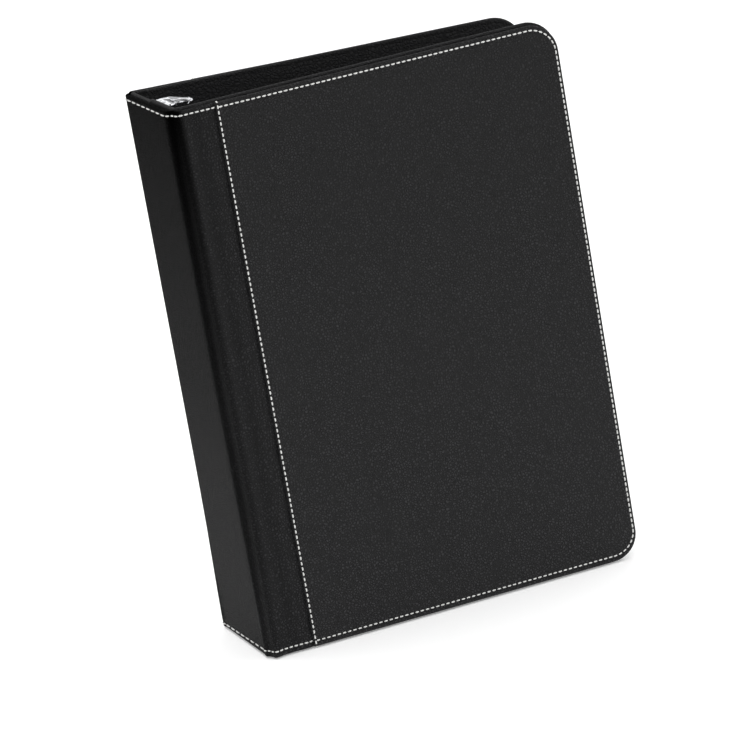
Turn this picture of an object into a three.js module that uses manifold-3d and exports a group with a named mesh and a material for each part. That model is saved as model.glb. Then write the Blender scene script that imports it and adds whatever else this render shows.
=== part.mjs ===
// Three-ring presentation binder in leather, standing on its lower edges.
// +Z runs up along the spine, -X is the spine's outer side, the covers' fore-edges point to +X,
// the front cover is on -Y and the back cover on +Y.  All lengths are in millimetres.
import * as THREE from "three";
import { mergeVertices } from "three/addons/utils/BufferGeometryUtils.js";
import Module from "manifold-3d";

const wasm = await Module();
wasm.setup();

// ---------------------------------------------------------------- driving dimensions
const HEIGHT = 235; // height of covers and spine
const COVER_WIDTH = 168; // outer corner of the spine to the fore-edge
const DEPTH = 60; // outer face to outer face at the spine
const STACK = 4.6; // thickness of a cover and of the spine: leather, board, lining
const SPINE_OUT = -1.2; // x of the spine's outer face
const GAP = 0.3; // play between neighbouring pieces
const SKIN = 1.1; // leather and lining of the spine
const COVER_LINING = 0.95; // lining of a cover
const RIM_WIDTH = 4; // width of the folded edge round each leather
const RIM_SPINE_LEATHER = 2.05; // depth of the spine leather's folded edge
const RIM_SPINE_LINING = 2.25; // depth of the spine lining's folded edge
const RIM_COVER = 2.15; // depth of the folded edges of a cover's leather and lining
const LINING_UP = 0.9; // the lining's top fold stands a little above the leather's
const CORNER = 12; // radius of the fore-edge corners
const FRONT_SPLAY = 2.7; // degrees that the front cover stands outwards
const BACK_LEAN = 14.4; // degrees that the back cover leans inwards
const FRONT_SEAM = 17.2; // hinge line to the front panel's folded edge
const BACK_SEAM = 26.7; // hinge line to the back panel's folded edge
const LAP = 7; // strip leather that runs on under the panel

const HINGE_X = SPINE_OUT + STACK / 2; // hinge lines, on the middle planes of spine and covers
const HINGE_Y = DEPTH / 2 - STACK / 2;
const SPINE_END = HINGE_Y - STACK / 2 - GAP; // half width of the stiff part of the spine
const SPINE_IN = SPINE_OUT + STACK; // inner face of the spine
const COVER_START = 0.9; // hinge line to a cover's outer leather
const LINING_START = 3.6; // hinge line to a cover's lining, clear of the spine when the cover leans in
const COVER_END = COVER_WIDTH - STACK / 2; // hinge line to the fore-edge

const METAL_X = SPINE_IN + GAP; // the ring metal sits on the lining
const HOUSING_Z0 = 5.5,
  HOUSING_Z1 = 229.5,
  HOUSING_W = 13,
  HOUSING_H = 7,
  HOUSING_T = 1;
const BLADE_Z0 = 14,
  BLADE_Z1 = 221,
  BLADE_U = 2.6,
  BLADE_V = 11,
  BLADE_T = 1,
  BLADE_TILT = 6;
const RING_PITCH = 69.85; // 2 3/4 in between rings
const RING_R = 14.3, // centreline of the wire; 25 mm inside
  RING_WIRE = 3.6,
  RING_FOOT_V = 9;
const LEVER_Z = 227.5, // pivot of the top lever, and the same distance from the bottom for the other
  LEVER_W = 16.4,
  LEVER_END = 18.4, // x of the tab's rounded end
  LEVER_TIP = 12.4, // width where the tab rounds off
  LEVER_T = 1.2;
const RIVET_Z = [30, 205];

// ---------------------------------------------------------------- helpers
const rad = (d) => (d * Math.PI) / 180;
function solid(geometry) {
  const g = geometry.clone();
  g.deleteAttribute("normal");
  g.deleteAttribute("uv");
  const m = mergeVertices(g, 1e-4);
  return new wasm.Manifold(
    new wasm.Mesh({
      numProp: 3,
      vertProperties: new Float32Array(m.attributes.position.array),
      triVerts: new Uint32Array(m.index.array),
    }),
  );
}
function geometryOf(s) {
  const m = s.getMesh(),
    n = m.numProp,
    v = new Float32Array((m.vertProperties.length / n) * 3);
  for (let i = 0; i < v.length / 3; i++)
    for (let k = 0; k < 3; k++) v[3 * i + k] = m.vertProperties[n * i + k];
  const g = new THREE.BufferGeometry();
  g.setAttribute("position", new THREE.BufferAttribute(v, 3));
  g.setIndex(new THREE.BufferAttribute(new Uint32Array(m.triVerts), 1));
  return g;
}
const unionAll = (list) => list.reduce((a, b) => a.add(b));
function box(x0, x1, y0, y1, z0, z1) {
  const g = new THREE.BoxGeometry(x1 - x0, y1 - y0, z1 - z0);
  g.translate((x0 + x1) / 2, (y0 + y1) / 2, (z0 + z1) / 2);
  return solid(g);
}
// a flat outline extruded along +Z
function prism(points, z0, z1) {
  const shape = new THREE.Shape(points.map(([x, y]) => new THREE.Vector2(x, y)));
  const g = new THREE.ExtrudeGeometry(shape, { depth: z1 - z0, bevelEnabled: false });
  g.translate(0, 0, z0);
  return solid(g);
}
// an outline in (x, z) extruded along Y from y0 to y1
function wall(points, y0, y1) {
  const shape = new THREE.Shape(points.map(([x, z]) => new THREE.Vector2(x, z)));
  const g = new THREE.ExtrudeGeometry(shape, { depth: y1 - y0, bevelEnabled: false });
  g.rotateX(Math.PI / 2);
  g.translate(0, y1, 0);
  return solid(g);
}
const material = (name, color, roughness, metalness) =>
  new THREE.MeshStandardMaterial({ name, color, roughness, metalness });
function mesh(name, geometry, mat) {
  const m = new THREE.Mesh(geometry, mat);
  m.name = name;
  return m;
}
const leather = () => material("leather", 0x26262a, 0.5, 0);
const lining = () => material("lining", 0x17171a, 0.85, 0);
const board = () => material("greyboard", 0x6d675d, 0.95, 0);
const chrome = () => material("chrome", 0xd8dade, 0.15, 1);

// outline of a cover from s0 to s1 and z0 to z1 with both fore-edge corners rounded
function coverOutline(s0, s1, z0, z1, r) {
  const pts = [[s0, z0]];
  const n = 7;
  for (let i = 0; i <= n; i++) {
    const a = -Math.PI / 2 + (i / n) * (Math.PI / 2);
    pts.push([s1 - r + r * Math.cos(a), z0 + r + r * Math.sin(a)]);
  }
  for (let i = 0; i <= n; i++) {
    const a = (i / n) * (Math.PI / 2);
    pts.push([s1 - r + r * Math.cos(a), z1 - r + r * Math.sin(a)]);
  }
  pts.push([s0, z1]);
  return pts;
}

// ---------------------------------------------------------------- the spine
const spineGroup = new THREE.Group();
function spineLeather() {
  const x0 = SPINE_OUT,
    xi = SPINE_OUT + SKIN,
    e = SPINE_END,
    w = SKIN,
    f = HINGE_Y - GAP, // the leather runs on across each gutter to the hinge line
    fa = HINGE_X - 0.55,
    fb = HINGE_X + 0.55;
  const section = [
    [x0, -e],
    [fa, -e],
    [fa, -f],
    [fb, -f],
    [fb, -e + w],
    [xi, -e + w],
    [xi, e - w],
    [fb, e - w],
    [fb, f],
    [fa, f],
    [fa, e],
    [x0, e],
  ];
  let s = prism(section, 0, HEIGHT);
  s = s.add(box(x0, x0 + RIM_SPINE_LEATHER, -e, e, 0, RIM_WIDTH));
  s = s.add(box(x0, x0 + RIM_SPINE_LEATHER, -e, e, HEIGHT - RIM_WIDTH, HEIGHT));
  return geometryOf(s);
}
spineGroup.add(mesh("spine_leather", spineLeather(), leather()));

const rivetBore = (z) => {
  const g = new THREE.CylinderGeometry(2.3, 2.3, 30, 20);
  g.rotateZ(Math.PI / 2);
  g.translate(SPINE_OUT + SKIN + 15.2, 0, z);
  return solid(g);
};
function spineBoard() {
  const x0 = SPINE_OUT + SKIN + GAP,
    x1 = SPINE_IN - SKIN - GAP,
    e = SPINE_END - SKIN - GAP;
  let s = box(x0, x1, -e, e, RIM_WIDTH + GAP, HEIGHT - RIM_WIDTH - GAP);
  for (const z of RIVET_Z) s = s.subtract(rivetBore(z));
  return geometryOf(s);
}
spineGroup.add(mesh("spine_board", spineBoard(), board()));

function spineLining() {
  const x0 = SPINE_IN - SKIN,
    xr = SPINE_IN - RIM_SPINE_LINING,
    xe = HINGE_X + 0.55 + GAP,
    e = SPINE_END,
    top = HEIGHT + LINING_UP;
  let s = box(x0, SPINE_IN, -e, e, 0, top);
  s = s.add(box(xe, SPINE_IN, -e, -e + SKIN, 0, top)).add(box(xe, SPINE_IN, e - SKIN, e, 0, top));
  const inner = e - SKIN - GAP;
  s = s.add(box(xr, SPINE_IN, -inner, inner, 0, RIM_WIDTH));
  s = s.add(box(xr, SPINE_IN, -inner, inner, HEIGHT - RIM_WIDTH, top));
  for (const z of RIVET_Z) s = s.subtract(rivetBore(z));
  return geometryOf(s);
}
spineGroup.add(mesh("spine_lining", spineLining(), lining()));

// ---------------------------------------------------------------- the ring metal
// section of the housing across the spine: u away from the lining, v across
function archPoints(halfWidth, height, n, power = 3) {
  const pts = [];
  for (let i = 0; i <= n; i++) {
    const a = (i / n) * Math.PI;
    const c = Math.cos(a),
      s = Math.sin(a);
    pts.push([
      height * Math.pow(Math.abs(s), 2 / power),
      halfWidth * Math.sign(c) * Math.pow(Math.abs(c), 2 / power),
    ]);
  }
  return pts; // from +v to -v
}
function housing() {
  const outer = archPoints(HOUSING_W, HOUSING_H, 24).map(([u, v]) => [METAL_X + u, v]);
  const inner = archPoints(HOUSING_W - HOUSING_T, HOUSING_H - HOUSING_T, 24).map(([u, v]) => [
    METAL_X + u - 0.001,
    v,
  ]);
  // the inner arch starts a little below the base so that the underside is open
  const cut = [[METAL_X - 1, HOUSING_W - HOUSING_T], ...inner, [METAL_X - 1, -HOUSING_W + HOUSING_T]];
  let s = prism(outer, HOUSING_Z0, HOUSING_Z1).subtract(prism(cut, HOUSING_Z0 - 1, HOUSING_Z1 + 1));
  for (const z of ringZ)
    for (const side of [-1, 1]) {
      const a = side * (RING_FOOT_V - RING_WIRE / 2 - 0.45),
        b = side * (RING_FOOT_V + RING_WIRE / 2 + 1.1);
      s = s.subtract(
        box(METAL_X + 3.2, METAL_X + 8, Math.min(a, b), Math.max(a, b), z - 2.3, z + 2.3),
      );
    }
  for (const z of RIVET_Z) s = s.subtract(rivetBore(z));
  return geometryOf(s);
}
const ringZ = [HEIGHT / 2 - RING_PITCH, HEIGHT / 2, HEIGHT / 2 + RING_PITCH];
spineGroup.add(mesh("ring_housing", housing(), chrome()));

function rivet(z) {
  const foot = METAL_X - 3.6,
    under = METAL_X + HOUSING_H + GAP;
  const profile = [
    [0, foot],
    [2.0, foot],
    [2.0, under],
    [4.2, under],
    [4.0, under + 0.7],
    [3.1, under + 1.25],
    [1.7, under + 1.55],
    [0, under + 1.65],
  ].map(([r, y]) => new THREE.Vector2(r, y));
  const g = new THREE.LatheGeometry(profile, 20);
  g.rotateZ(-Math.PI / 2); // the lathe's axis turns from +Y to +X
  g.translate(0, 0, z);
  return geometryOf(solid(g));
}
RIVET_Z.forEach((z, i) =>
  spineGroup.add(mesh(i ? "rivet_top" : "rivet_bottom", rivet(z), chrome())),
);

// one hinged blade under the housing; side -1 is the front one.  Drawn about its own pivot.
function blade(side) {
  const t = BLADE_T / 2,
    inner = BLADE_V - 0.35;
  // plan: u is x, v is y; the blade reaches from its pivot edge towards the middle
  let s = prism(
    [
      [-t, 0],
      [t, 0],
      [t, inner],
      [-t, inner],
    ].map(([u, v]) => [u, -side * v]),
    BLADE_Z0,
    BLADE_Z1,
  );
  if (s.volume() < 0) throw new Error("blade");
  for (const z of RIVET_Z) {
    const g = new THREE.CylinderGeometry(3.2, 3.2, 12, 20);
    g.rotateZ(Math.PI / 2);
    g.translate(0, -side * BLADE_V, z);
    s = s.subtract(solid(g));
  }
  return geometryOf(s);
}
// one half ring: a straight foot that rises from the blade through the housing, then a half circle
function halfRing(side, z) {
  const uc = housingTop(RING_FOOT_V) + Math.sqrt(RING_R ** 2 - RING_FOOT_V ** 2);
  const a0 = Math.atan2(RING_FOOT_V, -Math.sqrt(RING_R ** 2 - RING_FOOT_V ** 2)); // from +u
  const tip = 0.15 / RING_R;
  const pts = [];
  const foot = BLADE_U - Math.tan(rad(BLADE_TILT)) * (BLADE_V - RING_FOOT_V) + BLADE_T / 2 + 0.55;
  pts.push(new THREE.Vector3(METAL_X + foot, side * RING_FOOT_V, z));
  pts.push(new THREE.Vector3(METAL_X + foot + 1.5, side * RING_FOOT_V, z));
  const n = 18;
  for (let i = 0; i <= n; i++) {
    const a = a0 + (tip - a0) * (i / n);
    pts.push(
      new THREE.Vector3(METAL_X + uc + RING_R * Math.cos(a), side * RING_R * Math.sin(a), z),
    );
  }
  const path = new THREE.CurvePath();
  for (let i = 0; i + 1 < pts.length; i++) path.add(new THREE.LineCurve3(pts[i], pts[i + 1]));
  const curve = new THREE.CatmullRomCurve3(pts, false, "centripetal");
  const section = new THREE.Shape(
    Array.from({ length: 10 }, (_, i) => {
      const a = (i / 10) * 2 * Math.PI;
      return new THREE.Vector2((RING_WIRE / 2) * Math.cos(a), (RING_WIRE / 2) * Math.sin(a));
    }),
  );
  return geometryOf(
    solid(new THREE.ExtrudeGeometry(section, { steps: 26, extrudePath: curve, bevelEnabled: false })),
  );
}
function housingTop(v) {
  return HOUSING_H * Math.pow(1 - Math.pow(v / HOUSING_W, 3), 1 / 3);
}

const ringNames = ["bottom", "middle", "top"];
const frontRings = new THREE.Group(),
  backRings = new THREE.Group();
for (const [side, group, word] of [
  [-1, frontRings, "front"],
  [1, backRings, "back"],
]) {
  const b = mesh(word + "_blade", blade(side), chrome());
  b.position.set(METAL_X + BLADE_U, side * BLADE_V, 0);
  b.rotation.z = -side * rad(BLADE_TILT);
  group.add(b);
  ringZ.forEach((z, i) =>
    group.add(mesh(word + "_half_ring_" + ringNames[i], halfRing(side, z), chrome())),
  );
}

// opening lever: a plate under the end of the housing that turns outwards into a flat tab.
// up = 1 for the top one, -1 for the bottom one
function lever(up) {
  const u0 = METAL_X + BLADE_U;
  const line = [
    [5.35, -4.6],
    [5.35, 0],
    [5.4, 2.6],
    [5.75, 4.2],
    [7.0, 5.05],
    [9.5, 5.05],
    [12, 4.8],
    [15.2, 4.35],
    [LEVER_END - 1.4, 4.2],
    [LEVER_END + 0.3, 4.8],
  ].map(([u, w]) => new THREE.Vector2(u, w));
  const fine = new THREE.SplineCurve(line).getPoints(30);
  const a = [],
    b = [];
  fine.forEach((p, i) => {
    const q = fine[Math.max(0, i - 1)],
      r = fine[Math.min(fine.length - 1, i + 1)];
    const t = new THREE.Vector2().subVectors(r, q).normalize();
    const n = new THREE.Vector2(-t.y, t.x).multiplyScalar(LEVER_T / 2);
    a.push([p.x + n.x, p.y + n.y]);
    b.push([p.x - n.x, p.y - n.y]);
  });
  const cz = (w) => (up > 0 ? LEVER_Z + w : HEIGHT - LEVER_Z - w);
  let s = wall(
    [...a, ...b.reverse()].map(([x, w]) => [x, cz(w)]),
    -LEVER_W / 2 - 1,
    LEVER_W / 2 + 1,
  );
  // plan of the tab, seen along Z
  const h = LEVER_W / 2,
    plan = [
      [METAL_X - 1, -h],
      [METAL_X + 5, -h],
    ];
  const n = 16,
    rx = 5.6;
  for (let i = 0; i <= n; i++) {
    const t = -Math.PI / 2 + (i / n) * Math.PI;
    plan.push([LEVER_END - rx + rx * Math.cos(t), (LEVER_TIP / 2) * Math.sin(t)]);
  }
  plan.push([METAL_X + 5, h], [METAL_X - 1, h]);
  s = s.intersect(prism(plan, -50, HEIGHT + 50));
  const g = new THREE.CylinderGeometry(1.3, 1.3, 19, 16);
  g.translate(u0, 0, cz(0));
  s = s.add(solid(g));
  return geometryOf(s);
}
const topLever = mesh("top_lever", lever(1), chrome());
const bottomLever = mesh("bottom_lever", lever(-1), chrome());

// ---------------------------------------------------------------- the covers
// t is the depth from the cover's outer face; side -1 is the front cover, +1 the back cover
function slab(points, t0, t1, side) {
  const h = STACK / 2;
  return side < 0 ? wall(points, -h + t0, -h + t1) : wall(points, h - t1, h - t0);
}
const rect = (s0, s1, z0, z1) => [
  [s0, z0],
  [s1, z0],
  [s1, z1],
  [s0, z1],
];
function coverPieces(side, word, seam) {
  const lapEnd = seam + LAP;
  const stripT = 0.75; // the strip's outer face lies this far below the panel's
  // strip: leather from the gutter to under the panel
  let strip = unionAll([
    slab(rect(COVER_START, lapEnd, 0, HEIGHT), stripT, stripT + 0.8, side),
    slab(rect(COVER_START, COVER_START + 1.1, 0, HEIGHT), stripT, RIM_COVER, side),
    slab(rect(COVER_START, lapEnd, 0, RIM_WIDTH), stripT, RIM_COVER, side),
    slab(rect(COVER_START, lapEnd, HEIGHT - RIM_WIDTH, HEIGHT), stripT, RIM_COVER, side),
  ]);
  // panel: the large leather, thin where it laps the strip
  const p0 = lapEnd + GAP;
  const full = coverOutline(seam, COVER_END, 0, HEIGHT, CORNER);
  const wide = coverOutline(p0, COVER_END, 0, HEIGHT, CORNER);
  const hole = coverOutline(
    p0 - 5,
    COVER_END - RIM_WIDTH,
    RIM_WIDTH,
    HEIGHT - RIM_WIDTH,
    CORNER - RIM_WIDTH,
  );
  let panel = slab(full, 0, 0.45, side)
    .add(slab(wide, 0, 1.55, side))
    .add(slab(wide, 0, RIM_COVER, side).subtract(slab(hole, 1.4, STACK, side)));
  // board
  const boardPts = coverOutline(
    LINING_START + 1.1 + GAP,
    COVER_END - RIM_WIDTH - GAP,
    RIM_WIDTH + GAP,
    HEIGHT - RIM_WIDTH - GAP,
    CORNER - RIM_WIDTH - GAP,
  );
  const stiff = slab(boardPts, 1.55 + GAP, STACK - COVER_LINING - GAP, side);
  // lining
  const top = HEIGHT + LINING_UP;
  const linOut = coverOutline(LINING_START, COVER_END, 0, top, CORNER);
  const linHole = coverOutline(
    LINING_START + 1.1,
    COVER_END - RIM_WIDTH,
    RIM_WIDTH,
    HEIGHT - RIM_WIDTH,
    CORNER - RIM_WIDTH,
  );
  let line = slab(linOut, STACK - COVER_LINING, STACK, side).add(
    slab(linOut, STACK - RIM_COVER, STACK, side).subtract(slab(linHole, -1, STACK - 0.5, side)),
  );
  // pocket: a flat leather sheet sewn to the lining on three sides, with a thumb curve at its mouth
  const z0 = 8,
    z1 = 150,
    a = 40,
    b = COVER_END - 7,
    mid = (a + b) / 2;
  const pocketPts = [
    [a, z0],
    [b - 6, z0],
  ];
  for (let i = 1; i <= 5; i++) {
    const q = -Math.PI / 2 + (i / 5) * (Math.PI / 2);
    pocketPts.push([b - 6 + 6 * Math.cos(q), z0 + 6 + 6 * Math.sin(q)]);
  }
  pocketPts.push([b, z1]);
  for (let i = 0; i <= 12; i++) {
    const q = (i / 12) * Math.PI;
    pocketPts.push([mid + 13 * Math.cos(q), z1 - 11 * Math.sin(q)]);
  }
  pocketPts.push([a, z1]);
  const pocket = slab(pocketPts, STACK + GAP, STACK + GAP + 0.8, side);
  return [
    mesh(word + "_strip_leather", geometryOf(strip), leather()),
    mesh(word + "_panel_leather", geometryOf(panel), leather()),
    mesh(word + "_board", geometryOf(stiff), board()),
    mesh(word + "_lining", geometryOf(line), lining()),
    mesh(word + "_pocket", geometryOf(pocket), leather()),
  ];
}
const frontCover = new THREE.Group();
frontCover.position.set(HINGE_X, -HINGE_Y, 0);
frontCover.rotation.z = -rad(FRONT_SPLAY);
frontCover.add(...coverPieces(-1, "front", FRONT_SEAM));
const backCover = new THREE.Group();
backCover.position.set(HINGE_X, HINGE_Y, 0);
backCover.rotation.z = -rad(BACK_LEAN);
backCover.add(...coverPieces(1, "back", BACK_SEAM));

const binder = new THREE.Group();
binder.add(spineGroup, frontCover, backCover, frontRings, backRings, topLever, bottomLever);
export default binder;
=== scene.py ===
import bpy, bmesh, math
import numpy as np
from mathutils import Vector, Matrix, Quaternion


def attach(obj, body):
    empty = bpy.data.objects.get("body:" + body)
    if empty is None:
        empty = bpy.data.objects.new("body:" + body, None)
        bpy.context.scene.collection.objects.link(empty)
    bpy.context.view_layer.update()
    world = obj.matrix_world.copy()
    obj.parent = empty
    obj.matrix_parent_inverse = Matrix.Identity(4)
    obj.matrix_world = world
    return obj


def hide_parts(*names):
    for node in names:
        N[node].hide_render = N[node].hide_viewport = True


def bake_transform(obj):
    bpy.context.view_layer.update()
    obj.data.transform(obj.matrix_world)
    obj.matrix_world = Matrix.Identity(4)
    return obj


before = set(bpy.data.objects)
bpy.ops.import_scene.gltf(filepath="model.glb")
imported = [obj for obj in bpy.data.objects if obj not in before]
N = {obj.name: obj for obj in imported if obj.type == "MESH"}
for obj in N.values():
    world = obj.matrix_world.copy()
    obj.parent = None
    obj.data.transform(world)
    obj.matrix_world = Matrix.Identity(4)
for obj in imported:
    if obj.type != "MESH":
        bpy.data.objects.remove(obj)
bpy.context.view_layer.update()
MM = 0.001

# ------------------------------------------------------------------ camera (millimetres, then metres)
def camera():
    f, az, el, roll, tx, ty, D, Hf = 4500.0, math.radians(-19.694), math.radians(16.109), math.radians(-10.045), -0.033, -0.062, 7.994, 235.0
    back = Vector((math.sin(az) * math.cos(el), -math.cos(az) * math.cos(el), math.sin(el)))
    right = (-back).cross(Vector((0, 0, 1))).normalized()
    up = right.cross(-back)
    r2 = right * math.cos(roll) + up * math.sin(roll)
    u2 = -right * math.sin(roll) + up * math.cos(roll)
    loc = Vector((0.35, 0.1, 0.5)) + back * D + r2 * tx + u2 * ty
    loc = (loc * Hf + Vector((-1.2, -30.0, 0.0))) * MM
    cam = bpy.data.cameras.new("camera")
    cam.sensor_width = 36.0
    cam.lens = f / 729.0 * 36.0
    cam.clip_start, cam.clip_end = 0.05, 30
    o = bpy.data.objects.new("camera", cam)
    m = Matrix((r2, u2, back)).transposed().to_4x4()
    m.translation = loc
    o.matrix_world = m
    bpy.context.scene.collection.objects.link(o)
    bpy.context.scene.camera = o
camera()

# ------------------------------------------------------------------ the frame's dimensions, in millimetres
H = 235.0
HX, HY, HALF = 1.1, 27.7, 2.3
THETA = {-1: -math.radians(2.7), 1: -math.radians(14.4)}
SEAM = {-1: 17.2, 1: 26.7}
END = 165.7
WORD = {-1: "front", 1: "back"}
BODY = {-1: "front_cover", 1: "back_cover"}
LUP = 1.0       # the lining's top fold stands above the leather's
PITCH = 2.33    # of the stitches
METAL = 3.7

def cov(side, s, t):
    """(x, y) of a point of a cover: s from the hinge line, t in from the outer face."""
    y = side * (HALF - t)
    c, k = math.cos(THETA[side]), math.sin(THETA[side])
    return HX + s * c - y * k, side * HY + s * k + y * c
def cov_dir(side, s, t):
    c, k = math.cos(THETA[side]), math.sin(THETA[side])
    y = -side * t
    return s * c - y * k, s * k + y * c

# ------------------------------------------------------------------ mesh helpers
def make(name, verts, faces, mat, body=None, smooth=True, sharp=None):
    me = bpy.data.meshes.new(name)
    me.from_pydata([tuple(c * MM for c in v) for v in verts], [], faces)
    me.validate()
    o = bpy.data.objects.new(name, me)
    bpy.context.scene.collection.objects.link(o)
    if smooth:
        me.shade_smooth()
    if sharp:
        me.set_sharp_from_angle(angle=math.radians(sharp))
    me.materials.append(mat)
    if body:
        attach(o, body)
    return o

def catmull(pts, per):
    """Denser points along an open list of points."""
    p = [2 * np.array(pts[0], float) - np.array(pts[1], float)] + [np.array(q, float) for q in pts] + [2 * np.array(pts[-1], float) - np.array(pts[-2], float)]
    out = []
    for i in range(1, len(p) - 2):
        a, b, c, d = p[i - 1], p[i], p[i + 1], p[i + 2]
        for k in range(per):
            u = k / per
            out.append(0.5 * ((2 * b) + (c - a) * u + (2 * a - 5 * b + 4 * c - d) * u * u + (3 * b - a - 3 * c + d) * u ** 3))
    out.append(np.array(pts[-1], float))
    return out

def normals2d(sec, flip):
    """Outward normals of an open section."""
    out = []
    for i in range(len(sec)):
        t = np.array(sec[min(i + 1, len(sec) - 1)][:2]) - np.array(sec[max(i - 1, 0)][:2])
        t = t / (np.linalg.norm(t) or 1)
        out.append(np.array([t[1], -t[0]]) * flip)
    return out

def loft(name, sec, norm, zprof, scale, mat, body=None, fill=None):
    """A sheet: every point of the section carried up through the profile of (z, depth)."""
    verts, faces, m = [], [], len(zprof)
    for i, (p, n, k) in enumerate(zip(sec, norm, scale)):
        for z, d in zprof:
            qx, qy = fill(i, z) if fill else (0, 0)
            verts.append((p[0] - n[0] * d * k + qx, p[1] - n[1] * d * k + qy, z))
    for i in range(len(sec) - 1):
        for j in range(m - 1):
            a = i * m + j
            faces.append((a, a + 1, a + m + 1, a + m))
    return make(name, verts, faces, mat, body)

def rim_profile(z0, z1, depth, flat, stitch=None):
    """Heights and depths of a folded edge at both ends with a puffed rim and a shallow channel under the stitches."""
    end = [(4.2, depth), (1.0, depth), (0.45, depth - 0.12), (0.12, depth * 0.72), (0.0, depth * 0.48), (0.08, depth * 0.27), (0.32, depth * 0.11), (0.7, 0.03), (1.1, 0.02),
           (1.5, 0.10), (1.9, 0.17), (2.3, 0.10), (2.9, 0.03), (3.8, 0.0), (6, 0.0), (14, 0.0)]
    low = [(z0 + a, b + flat) for a, b in end]
    high = [(z1 - a, b + flat) for a, b in end][::-1]
    mid = [(z0 + (z1 - z0) * k / 10, flat) for k in range(1, 10)]
    return low + mid + high

def stitches(name, points, mat, radius=0.33, LEN=1.86, lift=0.12, body=None):
    """points: (position, tangent, outward normal) of each stitch."""
    verts, faces = [], []
    K, S = 9, 8
    for pt in points:
        pos, tan, nor = (np.array(v, float) for v in pt[:3])
        length = pt[3] if len(pt) > 3 else LEN
        tan = tan / np.linalg.norm(tan)
        nor = nor - tan * (nor @ tan); nor = nor / np.linalg.norm(nor)
        bi = np.cross(tan, nor)
        base = len(verts)
        for k in range(K):
            u = -1 + 2 * k / (K - 1)
            r = radius * max(0.12, (1 - abs(u) ** 3.2)) ** 0.5
            c = pos + tan * (u * length / 2) + nor * (lift - 0.30 * abs(u) ** 3)
            twist = 0.09 * math.sin(u * 9.0)
            for i in range(S):
                a = 2 * math.pi * i / S
                verts.append(tuple(c + bi * (r * math.cos(a) * 1.04 + twist * 0.25) + nor * (r * math.sin(a) * 0.9)))
        for k in range(K - 1):
            for i in range(S):
                a, b = base + k * S + i, base + k * S + (i + 1) % S
                faces.append((a, b, b + S, a + S))
        faces.append(tuple(base + i for i in reversed(range(S))))
        faces.append(tuple(base + (K - 1) * S + i for i in range(S)))
    return make(name, verts, faces, mat, body)

# ------------------------------------------------------------------ materials
def nodes_of(name):
    m = bpy.data.materials.new(name)
    m.use_nodes = True
    nt = m.node_tree
    return m, nt, nt.nodes["Principled BSDF"]

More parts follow.
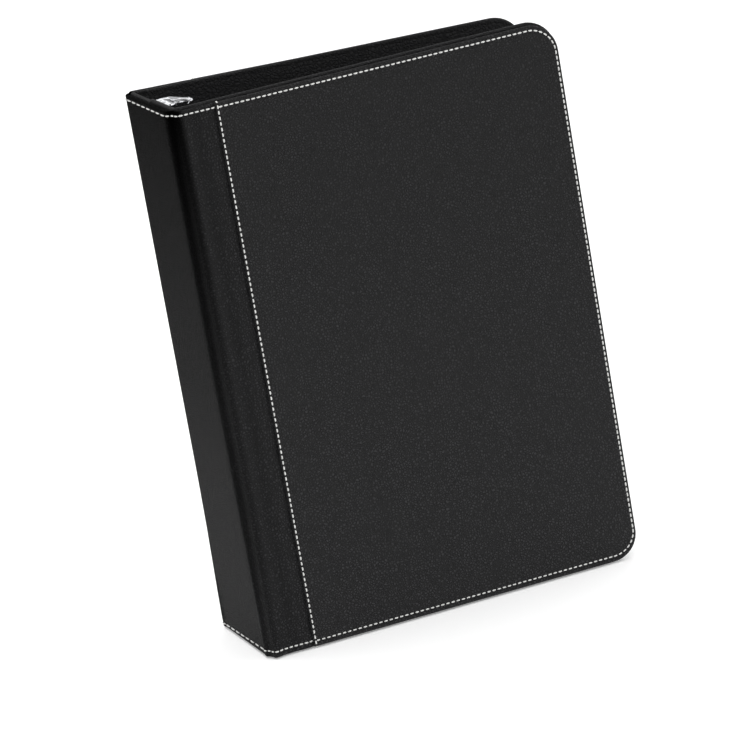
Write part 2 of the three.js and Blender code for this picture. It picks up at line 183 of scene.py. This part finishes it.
def leather_mat(name, base, rough, spec, cell=900.0, depth=0.00034, strength=0.75, vary=0.16, groove_and_painted_shade=False, painted_height_shade=None):
    m, nt, b = nodes_of(name)
    L = nt.links.new
    b.inputs["Specular IOR Level"].default_value = spec
    b.inputs["Roughness"].default_value = rough
    tc = nt.nodes.new("ShaderNodeTexCoord")
    warp = nt.nodes.new("ShaderNodeTexNoise"); warp.inputs["Scale"].default_value = cell * 0.6; warp.inputs["Detail"].default_value = 2.0
    L(tc.outputs["Object"], warp.inputs["Vector"])
    off = nt.nodes.new("ShaderNodeVectorMath"); off.operation = "MULTIPLY_ADD"
    off.inputs[1].default_value = (0.0009, 0.0009, 0.0009)
    L(warp.outputs["Color"], off.inputs[0]); L(tc.outputs["Object"], off.inputs[2])
    vo = nt.nodes.new("ShaderNodeTexVoronoi"); vo.feature = "DISTANCE_TO_EDGE"; vo.inputs["Scale"].default_value = cell
    L(off.outputs[0], vo.inputs["Vector"])
    peb = nt.nodes.new("ShaderNodeMapRange"); peb.inputs["From Max"].default_value = 0.28; peb.interpolation_type = "SMOOTHSTEP"
    L(vo.outputs["Distance"], peb.inputs["Value"])
    ns = nt.nodes.new("ShaderNodeTexNoise"); ns.inputs["Scale"].default_value = 620.0; ns.inputs["Detail"].default_value = 5.0; ns.inputs["Roughness"].default_value = 0.7
    L(tc.outputs["Object"], ns.inputs["Vector"])
    add = nt.nodes.new("ShaderNodeMath"); add.operation = "ADD"
    L(peb.outputs["Result"], add.inputs[0]); L(ns.outputs["Fac"], add.inputs[1])
    bump = nt.nodes.new("ShaderNodeBump"); bump.inputs["Strength"].default_value = strength; bump.inputs["Distance"].default_value = depth
    L(add.outputs[0], bump.inputs["Height"]); L(bump.outputs["Normal"], b.inputs["Normal"])
    ramp = nt.nodes.new("ShaderNodeValToRGB")
    ramp.color_ramp.elements[0].position = 0.55; ramp.color_ramp.elements[1].position = 1.55 / 2
    half = nt.nodes.new("ShaderNodeMath"); half.operation = "MULTIPLY"; half.inputs[1].default_value = 0.5
    L(add.outputs[0], half.inputs[0]); L(half.outputs[0], ramp.inputs["Fac"])
    lo, hi = [c * (1 - vary * 2.6) for c in base], [c * (1 + vary * 2.6) for c in base]
    ramp.color_ramp.elements[0].color = (*lo, 1); ramp.color_ramp.elements[1].color = (*hi, 1)
    color = ramp.outputs["Color"]
    # painted shade by height: the base colour is scaled from the first factor at the bottom to the second at the top,
    # lighter low and darker high, in place of how the light falls
    if painted_height_shade or groove_and_painted_shade:
        sep = nt.nodes.new("ShaderNodeSeparateXYZ"); L(tc.outputs["Object"], sep.inputs[0])
        up = nt.nodes.new("ShaderNodeMapRange"); up.inputs["From Min"].default_value = 0.0; up.inputs["From Max"].default_value = 0.235
        up.inputs["To Min"].default_value = (painted_height_shade or (1, 1))[0]; up.inputs["To Max"].default_value = (painted_height_shade or (1, 1))[1]
        L(sep.outputs[2], up.inputs["Value"])
        mul = nt.nodes.new("ShaderNodeVectorMath"); mul.operation = "SCALE"
        L(color, mul.inputs[0]); L(up.outputs["Result"], mul.inputs["Scale"])
        color = mul.outputs[0]
        # painted shade: the "shade" attribute scales the colour and the specular level, darkening the spine towards its
        # top, the gutter's groove and a band along the strip
        if groove_and_painted_shade:
            at = nt.nodes.new("ShaderNodeAttribute"); at.attribute_name = "shade"
            mu = nt.nodes.new("ShaderNodeVectorMath"); mu.operation = "SCALE"
            L(color, mu.inputs[0]); L(at.outputs["Fac"], mu.inputs["Scale"])
            color = mu.outputs[0]
            sp = nt.nodes.new("ShaderNodeMath"); sp.operation = "MULTIPLY"; sp.inputs[1].default_value = spec
            L(at.outputs["Fac"], sp.inputs[0]); L(sp.outputs[0], b.inputs["Specular IOR Level"])
    L(color, b.inputs["Base Color"])
    rr = nt.nodes.new("ShaderNodeMapRange")
    rr.inputs["To Min"].default_value = rough - 0.05; rr.inputs["To Max"].default_value = rough + 0.07
    L(ns.outputs["Fac"], rr.inputs["Value"]); L(rr.outputs["Result"], b.inputs["Roughness"])
    return m
# LEATHER and WRAP carry painted shade by height, lighter at the bottom and darker at the top; WRAP also takes the
# painted shade of the "shade" attribute
LEATHER = leather_mat("leather_black", (0.0140, 0.0140, 0.0148), 0.50, 0.20, strength=0.95, depth=0.00045, vary=0.20, painted_height_shade=(1.40, 0.82))
WRAP = leather_mat("leather_wrap", (0.0140, 0.0140, 0.0148), 0.56, 0.16, strength=0.95, depth=0.00045, vary=0.20, groove_and_painted_shade=True, painted_height_shade=(1.32, 0.84))
LINING = leather_mat("lining_black", (0.0075, 0.0075, 0.0082), 0.62, 0.20, strength=0.8, cell=700.0, depth=0.0003, vary=0.16)
POCKET = leather_mat("pocket_leather", (0.0095, 0.0095, 0.0102), 0.55, 0.20)

def board_mat():
    m, nt, b = nodes_of("greyboard")
    b.inputs["Roughness"].default_value = 0.9
    tc = nt.nodes.new("ShaderNodeTexCoord"); ns = nt.nodes.new("ShaderNodeTexNoise"); ns.inputs["Scale"].default_value = 700.0
    nt.links.new(tc.outputs["Object"], ns.inputs["Vector"])
    ramp = nt.nodes.new("ShaderNodeValToRGB")
    ramp.color_ramp.elements[0].color = (0.10, 0.09, 0.08, 1); ramp.color_ramp.elements[1].color = (0.30, 0.27, 0.23, 1)
    nt.links.new(ns.outputs["Fac"], ramp.inputs["Fac"]); nt.links.new(ramp.outputs["Color"], b.inputs["Base Color"])
    return m
BOARD = board_mat()
def chrome_mat():
    m, nt, b = nodes_of("chrome")
    b.inputs["Base Color"].default_value = (0.74, 0.75, 0.78, 1)
    b.inputs["Metallic"].default_value = 1.0
    b.inputs["Roughness"].default_value = 0.10
    tc = nt.nodes.new("ShaderNodeTexCoord"); ns = nt.nodes.new("ShaderNodeTexNoise"); ns.inputs["Scale"].default_value = 260.0
    nt.links.new(tc.outputs["Object"], ns.inputs["Vector"])
    bump = nt.nodes.new("ShaderNodeBump"); bump.inputs["Strength"].default_value = 0.35; bump.inputs["Distance"].default_value = 0.0006
    nt.links.new(ns.outputs["Fac"], bump.inputs["Height"]); nt.links.new(bump.outputs["Normal"], b.inputs["Normal"])
    return m
CHROME = chrome_mat()
def thread_mat():
    m, nt, b = nodes_of("thread_white")
    b.inputs["Roughness"].default_value = 0.75
    b.inputs["Specular IOR Level"].default_value = 0.25
    tc = nt.nodes.new("ShaderNodeTexCoord"); wv = nt.nodes.new("ShaderNodeTexNoise"); wv.inputs["Scale"].default_value = 1500.0
    nt.links.new(tc.outputs["Object"], wv.inputs["Vector"])
    ramp = nt.nodes.new("ShaderNodeValToRGB")
    ramp.color_ramp.elements[0].color = (0.42, 0.42, 0.41, 1); ramp.color_ramp.elements[1].color = (0.80, 0.80, 0.78, 1)
    nt.links.new(wv.outputs["Fac"], ramp.inputs["Fac"]); nt.links.new(ramp.outputs["Color"], b.inputs["Base Color"])
    bump = nt.nodes.new("ShaderNodeBump"); bump.inputs["Strength"].default_value = 0.4; bump.inputs["Distance"].default_value = 0.00008
    nt.links.new(wv.outputs["Fac"], bump.inputs["Height"]); nt.links.new(bump.outputs["Normal"], b.inputs["Normal"])
    return m
THREAD = thread_mat()

# ------------------------------------------------------------------ leather round the spine, the gutters and the strips
def walk(path, norm, z, knots):
    """Stitches along a section at height z. knots: (distance from, distance to, pitch, length) along the section."""
    L = [0.0]
    for a, b in zip(path, path[1:]):
        L.append(L[-1] + float(np.linalg.norm(np.array(b[:2]) - np.array(a[:2]))))
    out = []
    for d0, d1, pitch, length in knots(L):
        n = max(1, round((d1 - d0) / pitch)); p = (d1 - d0) / n
        for j in range(n):
            d = d0 + (j + 0.5) * p
            i = min(max(k for k in range(len(L)) if L[k] <= d), len(L) - 2)
            u = (d - L[i]) / (L[i + 1] - L[i])
            q = np.array(path[i][:2]) * (1 - u) + np.array(path[i + 1][:2]) * u
            t = np.array(path[i + 1][:2]) - np.array(path[i][:2])
            nn = norm[i] * (1 - u) + norm[i + 1] * u
            out.append(((q[0] - nn[0] * 0.10, q[1] - nn[1] * 0.10, z), (t[0], t[1], 0), (nn[0], nn[1], 0), length * p / pitch))
    return out

def wrap(side):
    w = WORD[side]
    k = 1.0 if side < 0 else 1.085  # the hidden side of the spine's board reaches a little further
    face = [(-1.2, 0), (-1.21, 6), (-1.21, 12), (-1.21, 17)]
    face += [(-1.2, 20.6), (-1.14, 22.2), (-0.95, 23.2), (-0.45, 24.05), (0.25, 24.65), (0.95, 25.4), (1.42, 26.6)] if side < 0 else [(-1.2, 21.8), (-1.14, 23.4), (-0.95, 24.3), (-0.45, 25.1), (0.3, 25.6), (1.0, 26.1), (1.45, 26.8)]
    sec = [(x, side * y) for x, y in face]
    sec += [cov(side, s, t) for s, t in ((0.55, 2.65), (0.8, 1.85), (1.35, 1.2), (2.2, 0.88), (3.4, 0.76), (5.0, 0.75), (6.6, 0.84), (8.4, 0.93), (10.4, 0.88), (12.4, 0.78), (14.2, 0.72))]
    if side > 0:
        sec += [cov(side, s, t) for s, t in ((18.0, 0.72), (22.0, 0.72))]
    sec += [cov(side, SEAM[side] + a, t) for a, t in ((-2.0, 0.74), (-1.0, 0.84), (-0.2, 1.12), (1.0, 1.2), (4.0, 1.1), (6.8, 1.1))]
    sec = catmull(sec, 5)
    norm = normals2d(sec, -1.0 if side < 0 else 1.0)
    if norm[0][0] > 0: norm = [-n for n in norm]
    scale = []
    for p in sec:
        yy = abs(p[1])
        scale.append(0.45 if p[0] < 3.2 and yy > 23.2 else 1.0 if p[0] < 3.2 else 0.72)
    scale = list(np.convolve(np.pad(scale, 3, mode="edge"), np.ones(7) / 7, mode="valid"))
    prof = rim_profile(0.0, H, 2.0, 0.0)
    arc = [0.0]
    for a, b in zip(sec, sec[1:]): arc.append(arc[-1] + float(np.linalg.norm(np.array(b) - np.array(a))))
    edge = 22.6 if side < 0 else 23.8
    lo_i = min(range(len(sec)), key=lambda i: abs(sec[i][1] - side * edge) + abs(sec[i][0] + 1.1) * 2)
    e0 = cov(side, 3.6, 0.76); hi_i = min(range(len(sec)), key=lambda i: (sec[i][0] - e0[0]) ** 2 + (sec[i][1] - e0[1]) ** 2)
    c0, h0 = (arc[lo_i] + arc[hi_i]) / 2, (arc[hi_i] - arc[lo_i]) / 2
    e1 = cov(side, 8.6, 0.9); band = min(range(len(sec)), key=lambda i: (sec[i][0] - e1[0]) ** 2 + (sec[i][1] - e1[1]) ** 2)
    # the gutter's groove: its mask shapes the sunken leather and also sets where the painted gutter shade goes
    def groove_and_painted_shade(i):
        x = abs(arc[i] - c0) / (h0 * 1.15)
        g = max(0.0, 1 - x ** 2.4) if x < 1 else 0.0
        return g * g * (3 - 2 * g)
    def fill(i, z):
        k = max(0.0, min(1.0, (70 - z) / 70)); k = k * k * (3 - 2 * k)
        q = 1.75 * k * groove_and_painted_shade(i)
        return -0.62 * q, side * 0.62 * q
    o = loft(f"{w}_wrap_leather", sec, norm, prof, scale, WRAP, None, fill)
    # painted shade for the "shade" attribute: the spine is painted darker towards its top, the gutter's groove is
    # painted dark (most at the top, fading into the cover), and a soft band of painted shade runs along the strip
    sh = []
    for i in range(len(sec)):
        g = groove_and_painted_shade(i)
        # soft band of painted shade along the strip
        strip_painted_shade = 0.16 * math.exp(-((arc[i] - arc[band]) / 2.6) ** 2)
        for z, d in prof:
            down = max(0.0, min(1.0, (H - z) / H))
            # painted shade in the gutter's groove, strongest at the top
            gutter_painted_shade = 0.97 - 0.56 * min(1.0, down * 1.9) - (0.12 * max(0.0, down - 0.8) / 0.2)
            # painted shade on the spine, darkest at the top and lighter towards the bottom
            spine = 0.07 + 0.20 * min(1.0, down * 1.4) + 0.15 * max(0.0, down - 0.5) * 2
            base = spine if arc[i] < arc[lo_i] else spine + (1 - spine) * min(1.0, (arc[i] - arc[lo_i]) / max(1e-6, h0))
            sh.append(base * (1 - gutter_painted_shade * g) * (1 - strip_painted_shade))
    at = o.data.attributes.new("shade", "FLOAT", "POINT"); at.data.foreach_set("value", np.array(sh, np.float32))
    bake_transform(o)
    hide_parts(f"{w}_strip_leather", "spine_leather")
    # the stitched rows along the lower and upper edge stop at the panel's folded edge
    vis = [p for p in sec]
    stop = SEAM[side] + 0.3
    end = cov(side, stop, 0.8)
    kk = min(range(len(sec)), key=lambda i: (sec[i][0] - end[0]) ** 2 + (sec[i][1] - end[1]) ** 2)
    for z, tag in ((1.6, "lower"), (H - 1.95, "upper")):
        def knots(L):
            turn = L[next(i for i in range(len(sec)) if abs(sec[i][1]) > 23.0)]
            return [(0.0, turn, 5.6, 4.1), (turn, L[-1], PITCH, 1.85)]
        path = [np.array(p[:2]) + np.array(fill(i, z)) for i, p in enumerate(sec[:kk + 1])]
        pts = walk(path, norm[:kk + 1], z, knots)
        if tag == "lower":
            # the row rises from the back of the spine to its front, and along the back strip
            pts = [((p[0], p[1], p[2] + 0.55 * (1 - max(-23.0, min(23.0, p[1])) / 23) + (1.1 * max(0.0, min(1.0, (p[0] - 4) / 16)) if side > 0 else 0.0)), t, n, ln) for p, t, n, ln in pts]
        st = stitches(f"{w}_wrap_stitches_{tag}", pts, THREAD)
        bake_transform(st)
    return o
for side in (-1, 1):
    wrap(side)

# lining over the inside of the spine and of each gutter, up to the cover's lining
def wrap_lining(side):
    w = WORD[side]
    sec = [(3.4, side * y) for y in (0, 7, 14, 19, 22.3)] + [(3.42, side * 23.6), (3.62, side * 24.5)]
    sec += [cov(side, s, t) for s, t in ((3.6, 4.95), (4.6, 4.72), (6.2, 4.62), (8.0, 4.62))]
    sec = catmull(sec, 6)
    norm = normals2d(sec, 1.0 if side < 0 else -1.0)
    if norm[0][0] < 0: norm = [-n for n in norm]
    prof = rim_profile(0.0, H + (LUP if side < 0 else 0.1), 2.1, 0.0)
    o = loft(f"{w}_gutter_lining", sec, norm, prof, [1.0] * len(sec), LINING)
    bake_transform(o)
    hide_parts("spine_lining")
for side in (-1, 1):
    wrap_lining(side)

# ------------------------------------------------------------------ covers: panels, linings, pockets
def outline(s0, s1, z0, z1, r_fore, r_spine, d=0.0, kr=0.68, ks=1.0, r_low=None):
    """Closed outline of a cover piece, moved in by d."""
    a0, a1, b0, b1 = s0 + d * ks, s1 - d * kr, z0 + d, z1 - d
    rf, rs = max(0.05, r_fore - d * 0.85), max(0.02, r_spine - d)
    pts = []
    def arc(cs, cz, r, t0, n):
        for i in range(n + 1):
            t = t0 + i / n * math.pi / 2
            pts.append((cs + r * math.cos(t), cz + r * math.sin(t)))
    def line(p, q, n):
        for i in range(1, n):
            u = i / n
            pts.append((p[0] * (1 - u) + q[0] * u, p[1] * (1 - u) + q[1] * u))
    arc(a0 + rs, b0 + rs, rs, math.pi, 3)
    line((a0 + rs, b0), (a1 - (rf - 1.2), b0), 24)
    rl = rf - 1.2
    arc(a1 - rl, b0 + rl, rl, -math.pi / 2, 14)
    line((a1, b0 + rl), (a1, b1 - rf), 24)
    arc(a1 - rf, b1 - rf, rf, 0, 14)
    line((a1 - rf, b1), (a0 + rs, b1), 24)
    arc(a0 + rs, b1 - rs, rs, math.pi / 2, 3)
    line((a0, b1 - rs), (a0, b0 + rs), 24)
    return pts

def shell(name, side, s0, s1, z0, z1, rf, rs, prof, mat, ks=1.0, kr=0.68, tilt=(0, 0)):
    """A closed piece from rings of (inset, depth); both ends are capped flat."""
    verts, faces, n = [], [], None
    for d, t in prof:
        ring = outline(s0, s1, z0, z1, rf, rs, d, kr, ks)
        n = len(ring)
        for s, z in ring:
            verts.append((*cov(side, s, t), z + (tilt[0] + (tilt[1] - tilt[0]) * s / END) * max(0.0, z / H - 0.5) * 2))
    for k in range(len(prof) - 1):
        for i in range(n):
            a, b = k * n + i, k * n + (i + 1) % n
            faces.append((a, b, b + n, a + n))
    faces.append(tuple(reversed(range(n))))
    faces.append(tuple((len(prof) - 1) * n + i for i in range(n)))
    o = make(name, verts, faces, mat, None)
    bm = bmesh.new(); bm.from_mesh(o.data); bmesh.ops.recalc_face_normals(bm, faces=bm.faces); bm.to_mesh(o.data); bm.free()
    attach(o, BODY[side])
    return o

def panel_profile():
    return [(4.4, 1.62), (4.1, 2.2), (1.2, 2.24), (0.5, 2.12), (0.14, 1.75), (0.0, 1.2), (0.06, 0.72), (0.25, 0.34), (0.6, 0.12), (1.0, 0.05), (1.35, 0.08), (1.7, 0.19), (2.0, 0.24),
            (2.3, 0.19), (2.75, 0.07), (3.4, 0.01), (4.6, 0.0), (8.0, 0.0)]
def lining_profile():
    return [(4.4, 3.7), (4.1, 2.5), (1.3, 2.44), (0.6, 2.5), (0.2, 2.75), (0.0, 3.2), (0.0, 3.75), (0.2, 4.2), (0.55, 4.47), (1.0, 4.57), (1.5, 4.5), (2.0, 4.42), (2.5, 4.5), (3.2, 4.58), (4.6, 4.6), (8.0, 4.6)]

def seam_stitch(side):
    s = SEAM[side] + 1.0
    pts, z = [], 1.0
    n = int((H - 2.0) / PITCH)
    p = (H - 1.6) / n
    for i in range(n):
        zz = 0.8 + p * (i + 0.5)
        pts.append(((*cov(side, s, 0.20), zz), (0, 0, 1), (*cov_dir(side, 0, -1), 0)))
    # the thread laps over both ends of the seam
    for z0, up in ((0.05, -1), (H - 0.05, 1)):
        pts.append(((*cov(side, s, 1.0), z0 + up * 0.02), (*cov_dir(side, 0, 1), 0), (0, 0, up)))
    return pts

def perimeter(side):
    """Stitches along the top, fore and bottom edges of the panel, every PITCH from the seam."""
    d = 2.0
    s0, s1 = SEAM[side] + 1.0, END - d * 0.68
    r, rl = 12.8 - d * 0.85, 11.6 - d * 0.85
    z0, z1 = 2.7, H - 2.0
    path = [(s0, z1)]
    for i in range(17):
        t = math.pi / 2 * (1 - i / 16)
        path.append((s1 - r + r * math.cos(t), z1 - r + r * math.sin(t)))
    for i in range(17):
        t = -math.pi / 2 * i / 16
        path.append((s1 - rl + rl * math.cos(t), z0 + rl + rl * math.sin(t)))
    path.append((s0, z0))
    P = np.array(path); L = np.concatenate([[0], np.cumsum(np.linalg.norm(np.diff(P, axis=0), axis=1))])
    n = int(L[-1] / PITCH); p = L[-1] / n
    out = []
    nor = (*cov_dir(side, 0, -1), 0)
    for i in range(n):
        d0 = (i + 0.5) * p
        k = min(int(np.searchsorted(L, d0)) - 1, len(P) - 2)
        u = (d0 - L[k]) / (L[k + 1] - L[k])
        q = P[k] * (1 - u) + P[k + 1] * u
        t = P[k + 1] - P[k]
        tx, ty = cov_dir(side, t[0], 0)
        out.append(((*cov(side, q[0], 0.20), q[1]), (tx, ty, t[1]), nor))
    return out

for side in (-1, 1):
    w = WORD[side]
    o = shell(f"{w}_cover_panel", side, SEAM[side], END, 0, H, 12.8, 0.6, panel_profile(), LEATHER, ks=0.35)
    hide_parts(f"{w}_panel_leather")
    o = shell(f"{w}_cover_lining", side, 6.8, END - 0.1, 0.0, H + (LUP if side < 0 else 0.3), 12.8, 0.3, lining_profile(), LINING, ks=0.2, tilt=(0, 0) if side < 0 else (-0.5, 1.1))
    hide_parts(f"{w}_lining")
    stitches(f"{w}_panel_stitches", perimeter(side), THREAD, body=BODY[side])
    stitches(f"{w}_seam_stitches", seam_stitch(side), THREAD, body=BODY[side])
    N[f"{w}_board"].data.materials.clear(); N[f"{w}_board"].data.materials.append(BOARD)
N["spine_board"].data.materials.clear(); N["spine_board"].data.materials.append(BOARD)

def pocket(side):
    w = WORD[side]
    z0, z1, a, b, r = 8.0, 150.0, 40.0, END - 7.0, 6.0
    mid = (a + b) / 2
    def ring(d):
        pts = []
        for i in range(25): pts.append((a + d + (b - r - a - d) * i / 25, z0 + d))
        for i in range(9):
            q = -math.pi / 2 + i / 8 * math.pi / 2
            pts.append((b - r + (r - d) * math.cos(q), z0 + r + (r - d) * math.sin(q)))
        for i in range(1, 24): pts.append((b - d, z0 + r + (z1 - d - z0 - r) * i / 24))
        pts.append((b - d, z1 - d))
        for i in range(25):
            q = i / 24 * math.pi
            pts.append((mid + (13 + d) * math.cos(q), z1 - d - 11 * math.sin(q)))
        pts.append((a + d, z1 - d))
        for i in range(1, 25): pts.append((a + d, z1 - d - (z1 - z0 - 2 * d) * i / 25))
        return pts
    prof = [(1.6, 4.98), (0.25, 4.95), (0.0, 5.2), (0.08, 5.45), (0.35, 5.62), (0.9, 5.66), (1.4, 5.6), (1.8, 5.56), (2.2, 5.6), (2.8, 5.66), (4.0, 5.68)]
    verts, faces, n = [], [], None
    for d, t in prof:
        rg = ring(d); n = len(rg)
        for s, z in rg: verts.append((*cov(side, s, t), z))
    for k in range(len(prof) - 1):
        for i in range(n):
            p, q = k * n + i, k * n + (i + 1) % n
            faces.append((p, q, q + n, p + n))
    faces.append(tuple(reversed(range(n)))); faces.append(tuple((len(prof) - 1) * n + i for i in range(n)))
    o = make(f"{w}_inner_pocket", verts, faces, POCKET, None)
    bm = bmesh.new(); bm.from_mesh(o.data); bmesh.ops.recalc_face_normals(bm, faces=bm.faces); bm.to_mesh(o.data); bm.free()
    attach(o, BODY[side]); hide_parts(f"{w}_pocket")
    rg = ring(1.8)
    # three sewn sides: left, bottom, right
    m = 25 + 9 + 24
    path = [rg[-1 - i] for i in range(24)][::-1] + rg[:m]
    P = np.array(path); L = np.concatenate([[0], np.cumsum(np.linalg.norm(np.diff(P, axis=0), axis=1))])
    cnt = int(L[-1] / PITCH); out = []
    nor = (*cov_dir(side, 0, 1), 0)
    for i in range(cnt):
        d0 = (i + 0.5) * L[-1] / cnt
        k = min(int(np.searchsorted(L, d0)) - 1, len(P) - 2)
        u = (d0 - L[k]) / max(1e-6, L[k + 1] - L[k])
        q = P[k] * (1 - u) + P[k + 1] * u; t = P[k + 1] - P[k]
        tx, ty = cov_dir(side, t[0], 0)
        out.append(((*cov(side, q[0], 5.56), q[1]), (tx, ty, t[1]), nor))
    stitches(f"{w}_pocket_stitches", out, THREAD, body=BODY[side])
for side in (-1, 1):
    pocket(side)

# ------------------------------------------------------------------ ring metal
def tube(name, pts, radii, mat, body, sides=22):
    pts = [np.array(p, float) for p in pts]
    verts, faces = [], []
    up = np.array([0, 0, 1.0])
    for i, p in enumerate(pts):
        t = pts[min(i + 1, len(pts) - 1)] - pts[max(i - 1, 0)]; t /= np.linalg.norm(t)
        a = up; b = np.cross(t, a)
        for k in range(sides):
            q = 2 * math.pi * k / sides
            verts.append(tuple(p + a * radii[i] * math.cos(q) + b * radii[i] * math.sin(q)))
    for i in range(len(pts) - 1):
        for k in range(sides):
            a, b = i * sides + k, i * sides + (k + 1) % sides
            faces.append((a, b, b + sides, a + sides))
    faces.append(tuple(reversed(range(sides)))); faces.append(tuple((len(pts) - 1) * sides + k for k in range(sides)))
    o = make(name, verts, faces, mat, None, sharp=50)
    bm = bmesh.new(); bm.from_mesh(o.data); bmesh.ops.recalc_face_normals(bm, faces=bm.faces); bm.to_mesh(o.data); bm.free()
    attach(o, body)
    return o
R, FV = 14.3, 9.0
top_u = 7 * (1 - (FV / 13) ** 3) ** (1 / 3)
UC = top_u + math.sqrt(R * R - FV * FV)
for side in (-1, 1):
    body = "front_rings" if side < 0 else "back_rings"
    for word, z in (("bottom", 47.65), ("middle", 117.5), ("top", 187.35)):
        a0 = math.atan2(FV, -math.sqrt(R * R - FV * FV))
        pts = [(METAL + 3.1, side * FV, z), (METAL + 4.6, side * FV, z)]
        rr = [1.75, 1.8]
        n = 40
        tip = 0.15 / R
        for i in range(n + 1):
            a = a0 + (tip - a0) * i / n
            pts.append((METAL + UC + R * math.cos(a), side * R * math.sin(a), z))
            e = (a - tip) * R
            rr.append(1.8 if e > 0.35 else 1.8 - 0.28 * (1 - e / 0.35))
        o = tube(f"{WORD[side]}_ring_{word}", pts, rr, CHROME, body)
        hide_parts(f"{WORD[side]}_half_ring_{word}")
for n in ("ring_housing", "rivet_top", "rivet_bottom", "front_blade", "back_blade"):
    o = N[n]
    o.data.materials.clear(); o.data.materials.append(CHROME)
    o.data.shade_smooth(); o.data.set_sharp_from_angle(angle=math.radians(32))
    bv = o.modifiers.new("edge", "BEVEL"); bv.width = 0.00018; bv.segments = 2; bv.limit_method = "ANGLE"; bv.angle_limit = math.radians(40)

def lever(up):
    base = 227.5
    line = [(5.35, -4.6), (5.35, -1.5), (5.35, 0.6), (5.4, 2.6), (5.75, 4.4), (7.0, 5.5), (9.5, 5.95), (12, 5.85), (14.2, 5.4), (16.0, 4.9), (17.3, 4.6), (18.2, 4.6), (18.7, 4.8)]
    fine = catmull(line, 6)
    W, cols = 8.2, 26
    verts, faces = [], []
    for i, p in enumerate(fine):
        x = p[0]
        # the tab keeps its width, then rounds off at its end
        e = max(0.0, (x - 12.8) / (18.7 - 12.8))
        taper = W - (W - 6.2) * min(1.0, max(0.0, (x - 8.7) / 4.1))
        half = taper * math.sqrt(max(0.0, 1 - e ** 2.1)) if p[1] > 3 else W
        half = max(half, 0.9)
        for k in range(cols + 1):
            v = -1 + 2 * k / cols
            dish = 1.0 * (1 - v ** 4) * min(1, max(0, (x - 8) / 3.5)) * (1 - e * 0.8)
            edge = 0.35 * max(0.0, abs(v) - 0.86) / 0.14 * (1 if x > 7 else 0)
            z = base + p[1] - dish - edge
            verts.append((x, v * half, z if up > 0 else H - z))
    m = cols + 1
    for i in range(len(fine) - 1):
        for k in range(cols):
            a = i * m + k
            faces.append((a, a + 1, a + m + 1, a + m))
    name = "top_lever_tab" if up > 0 else "bottom_lever_tab"
    o = make(name, verts, faces, CHROME, None)
    bm = bmesh.new(); bm.from_mesh(o.data); bmesh.ops.recalc_face_normals(bm, faces=bm.faces); bm.to_mesh(o.data); bm.free()
    sd = o.modifiers.new("plate", "SOLIDIFY"); sd.thickness = 1.0 * MM; sd.offset = 0
    bv = o.modifiers.new("edge", "BEVEL"); bv.width = 0.3 * MM; bv.segments = 3; bv.limit_method = "ANGLE"; bv.angle_limit = math.radians(45)
    body = "top_lever_body" if up > 0 else "bottom_lever_body"
    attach(o, body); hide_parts("top_lever" if up > 0 else "bottom_lever")
    # rolled pivot
    zc = base if up > 0 else H - base
    vs, fs = [], []
    for i, (y, r) in enumerate([(-9.5, 0.9), (-9.3, 1.25), (-8.9, 1.3), (8.9, 1.3), (9.3, 1.25), (9.5, 0.9)]):
        for k in range(24):
            q = 2 * math.pi * k / 24
            vs.append((6.3 + r * math.cos(q), y, zc + r * math.sin(q)))
    for i in range(5):
        for k in range(24):
            a, b = i * 24 + k, i * 24 + (k + 1) % 24
            fs.append((a, b, b + 24, a + 24))
    fs.append(tuple(range(24))); fs.append(tuple(5 * 24 + k for k in reversed(range(24))))
    make(name + "_pivot", vs, fs, CHROME, body, sharp=50)
lever(1); lever(-1)

# ------------------------------------------------------------------ floor and light
def studio():
    me = bpy.data.meshes.new("floor")
    me.from_pydata([(-6, -6, -0.0008), (6, -6, -0.0008), (6, 6, -0.0008), (-6, 6, -0.0008)], [], [(0, 1, 2, 3)])
    o = bpy.data.objects.new("floor", me); bpy.context.scene.collection.objects.link(o)
    m, nt, b = nodes_of("floor_white")
    b.inputs["Base Color"].default_value = (0.93, 0.93, 0.93, 1); b.inputs["Roughness"].default_value = 0.9
    b.inputs["Specular IOR Level"].default_value = 0.1
    b.inputs["Emission Color"].default_value = (1, 1, 1, 1); b.inputs["Emission Strength"].default_value = 0.22
    me.materials.append(m)
    w = bpy.data.worlds.new("studio"); bpy.context.scene.world = w; w.use_nodes = True
    wn = w.node_tree; bg = wn.nodes["Background"]; bg.inputs[1].default_value = 0.5
    wt = wn.nodes.new("ShaderNodeTexCoord"); ws = wn.nodes.new("ShaderNodeSeparateXYZ"); wr = wn.nodes.new("ShaderNodeValToRGB")
    wn.links.new(wt.outputs["Generated"], ws.inputs[0])
    wm = wn.nodes.new("ShaderNodeMapRange"); wm.inputs["From Min"].default_value = -0.2; wm.inputs["From Max"].default_value = 1.0
    wn.links.new(ws.outputs[2], wm.inputs["Value"]); wn.links.new(wm.outputs["Result"], wr.inputs["Fac"])
    wr.color_ramp.elements[0].color = (0.6, 0.6, 0.6, 1); wr.color_ramp.elements[1].color = (1, 1, 1, 1)
    for at, c in ((0.2, 0.35), (0.31, 0.75), (0.38, 2.6), (0.46, 2.6), (0.52, 0.3), (0.62, 0.9)):
        e = wr.color_ramp.elements.new(at); e.color = (c, c, c, 1)
    wn.links.new(wr.outputs["Color"], bg.inputs[0])
    def area(name, loc, target, size, power):
        l = bpy.data.lights.new(name, "AREA"); l.shape = "SQUARE"; l.size = size; l.energy = power
        ob = bpy.data.objects.new(name, l); bpy.context.scene.collection.objects.link(ob)
        ob.location = loc
        ob.rotation_mode = "QUATERNION"
        ob.rotation_quaternion = (Vector(target) - Vector(loc)).to_track_quat("-Z", "Y")
    area("key", (-0.5, -1.4, 1.5), (0.08, 0, 0.1), 1.2, 14)
    area("top", (0.1, 0.6, 2.2), (0.08, 0.2, 0.0), 2.2, 34)
    area("fill", (1.4, -0.9, 0.8), (0.08, 0, 0.1), 1.2, 7)
studio()
sc = bpy.context.scene
sc.view_settings.view_transform = "Standard"
sc.view_settings.look = "None"
sc.view_settings.exposure = 0.0
